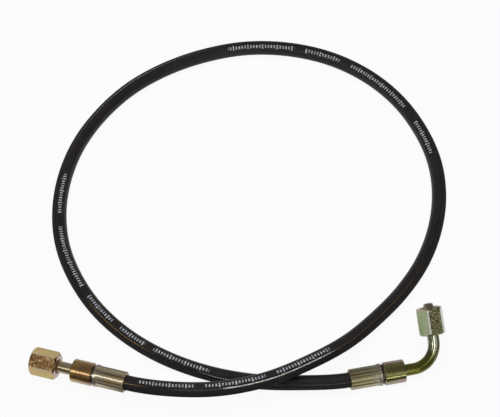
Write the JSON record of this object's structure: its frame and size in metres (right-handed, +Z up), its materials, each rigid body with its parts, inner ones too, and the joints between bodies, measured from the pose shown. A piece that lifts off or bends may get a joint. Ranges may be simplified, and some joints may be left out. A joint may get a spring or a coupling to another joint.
{
  "type": "hydraulic hose assembly",
  "caption": "Small-bore black hydraulic hose laid in an open loop, crimped to a straight swivel fitting at one end and a bent-tube swivel elbow at the other, for joining pressure ports.",
  "frame": {"origin": "on the floor, at the middle of the box around the two fittings", "axes": "+X from the straight fitting to the elbow, +Y from the fittings towards the hose loop, +Z up"},
  "size_m": [0.2469, 0.2838, 0.0344],
  "materials": {
    "hose_cover": "smooth glossy black cover",
    "hose_braid": "woven synthetic yarn",
    "hose_core": "plain extruded core",
    "plated_steel": "yellow passivated zinc plating, glossy",
    "braze": "braze metal under the plating"
  },
  "bodies": {
    "hose_and_fittings": {"hose_core_tube": "hose_core", "hose_braid": "hose_braid", "hose_cover": "hose_cover", "straight_ferrule": "plated_steel", "straight_insert": "plated_steel", "straight_insert_braze": "braze", "straight_tube": "plated_steel", "straight_nose_braze": "braze", "straight_nose": "plated_steel", "elbow_ferrule": "plated_steel", "elbow_insert": "plated_steel", "elbow_insert_braze": "braze", "elbow_tube": "plated_steel", "elbow_nose_braze": "braze", "elbow_nose": "plated_steel"},
    "straight_ring": {"straight_thrust_ring": "plated_steel"},
    "straight_nut": {"straight_nut": "plated_steel"},
    "elbow_ring": {"elbow_thrust_ring": "plated_steel"},
    "elbow_nut": {"elbow_nut": "plated_steel"}
  },
  "joints": [
    {"name": "straight_nut_slide", "type": "slide", "parent": "hose_and_fittings", "child": "straight_ring", "axis": [-0.947, 0.3169, -0.0523], "range_m": [-0.0089, 0]},
    {"name": "straight_nut_spin", "type": "hinge", "parent": "straight_ring", "child": "straight_nut", "pos_m": [-0.11087, -0.00475, 0.0087], "axis": [-0.947, 0.3169, -0.0523], "continuous": true},
    {"name": "elbow_nut_slide", "type": "slide", "parent": "hose_and_fittings", "child": "elbow_ring", "axis": [-0.1545, 0.7269, 0.6691], "range_m": [-0.0034, 0.0084]},
    {"name": "elbow_nut_spin", "type": "hinge", "parent": "elbow_ring", "child": "elbow_nut", "pos_m": [0.11149, 0.01433, 0.02395], "axis": [-0.1545, 0.7269, 0.6691], "continuous": true}
  ]
}
